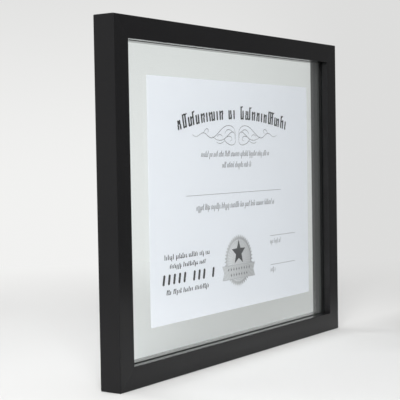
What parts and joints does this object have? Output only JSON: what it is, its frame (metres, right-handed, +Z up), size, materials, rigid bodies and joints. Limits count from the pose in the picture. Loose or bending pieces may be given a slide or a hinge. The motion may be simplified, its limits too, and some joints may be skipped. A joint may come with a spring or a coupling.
{
  "type": "certificate frame",
  "caption": "Double-glass float frame for a certificate, square mitred black wood moulding, open back with turn buttons and sawtooth hangers.",
  "frame": {"origin": "centre of the face that the frame stands on, halfway through the moulding's depth", "axes": "+Z up, the glass faces -Y, +X along the long side, to the right as seen from the front"},
  "size_m": [0.3842, 0.0245, 0.308],
  "materials": {
    "black_wood": "satin black lacquer on wood",
    "clear_glass": "clear float glass",
    "printed_paper": "smooth white card, printed",
    "zinc_steel": "zinc plated",
    "black_rubber": "matt black rubber"
  },
  "bodies": {
    "frame": {"back_glass": "clear_glass", "bottom_rail": "black_wood", "bumper_left": "black_rubber", "bumper_right": "black_rubber", "button_screws": "zinc_steel", "certificate": "printed_paper", "corner_v_nails": "zinc_steel", "front_glass": "clear_glass", "hanger_landscape": "zinc_steel", "hanger_portrait": "zinc_steel", "left_stile": "black_wood", "retainer_bottom": "black_wood", "retainer_left": "black_wood", "retainer_right": "black_wood", "retainer_staples": "zinc_steel", "retainer_top": "black_wood", "right_stile": "black_wood", "top_rail": "black_wood"},
    "button_top_left": {"turn_button_top_left": "zinc_steel"},
    "button_top_right": {"turn_button_top_right": "zinc_steel"},
    "button_bottom_left": {"turn_button_bottom_left": "zinc_steel"},
    "button_bottom_right": {"turn_button_bottom_right": "zinc_steel"},
    "button_left_lower": {"turn_button_left_lower": "zinc_steel"},
    "button_left_upper": {"turn_button_left_upper": "zinc_steel"},
    "button_right_lower": {"turn_button_right_lower": "zinc_steel"},
    "button_right_upper": {"turn_button_right_upper": "zinc_steel"}
  },
  "joints": [
    {"name": "top_left_button_turn", "type": "hinge", "parent": "frame", "child": "button_top_left", "pos_m": [-0.09605, 0.0105, 0.30165], "axis": [0, 1, 0], "range_deg": [-90, 90]},
    {"name": "top_right_button_turn", "type": "hinge", "parent": "frame", "child": "button_top_right", "pos_m": [0.09605, 0.0105, 0.30165], "axis": [0, 1, 0], "range_deg": [-90, 90]},
    {"name": "bottom_left_button_turn", "type": "hinge", "parent": "frame", "child": "button_bottom_left", "pos_m": [-0.09605, 0.0105, 0.00635], "axis": [0, 1, 0], "range_deg": [-90, 90]},
    {"name": "bottom_right_button_turn", "type": "hinge", "parent": "frame", "child": "button_bottom_right", "pos_m": [0.09605, 0.0105, 0.00635], "axis": [0, 1, 0], "range_deg": [-90, 90]},
    {"name": "left_lower_button_turn", "type": "hinge", "parent": "frame", "child": "button_left_lower", "pos_m": [-0.18575, 0.0105, 0.077], "axis": [0, 1, 0], "range_deg": [-90, 90]},
    {"name": "left_upper_button_turn", "type": "hinge", "parent": "frame", "child": "button_left_upper", "pos_m": [-0.18575, 0.0105, 0.231], "axis": [0, 1, 0], "range_deg": [-90, 90]},
    {"name": "right_lower_button_turn", "type": "hinge", "parent": "frame", "child": "button_right_lower", "pos_m": [0.18575, 0.0105, 0.077], "axis": [0, 1, 0], "range_deg": [-90, 90]},
    {"name": "right_upper_button_turn", "type": "hinge", "parent": "frame", "child": "button_right_upper", "pos_m": [0.18575, 0.0105, 0.231], "axis": [0, 1, 0], "range_deg": [-90, 90]}
  ]
}
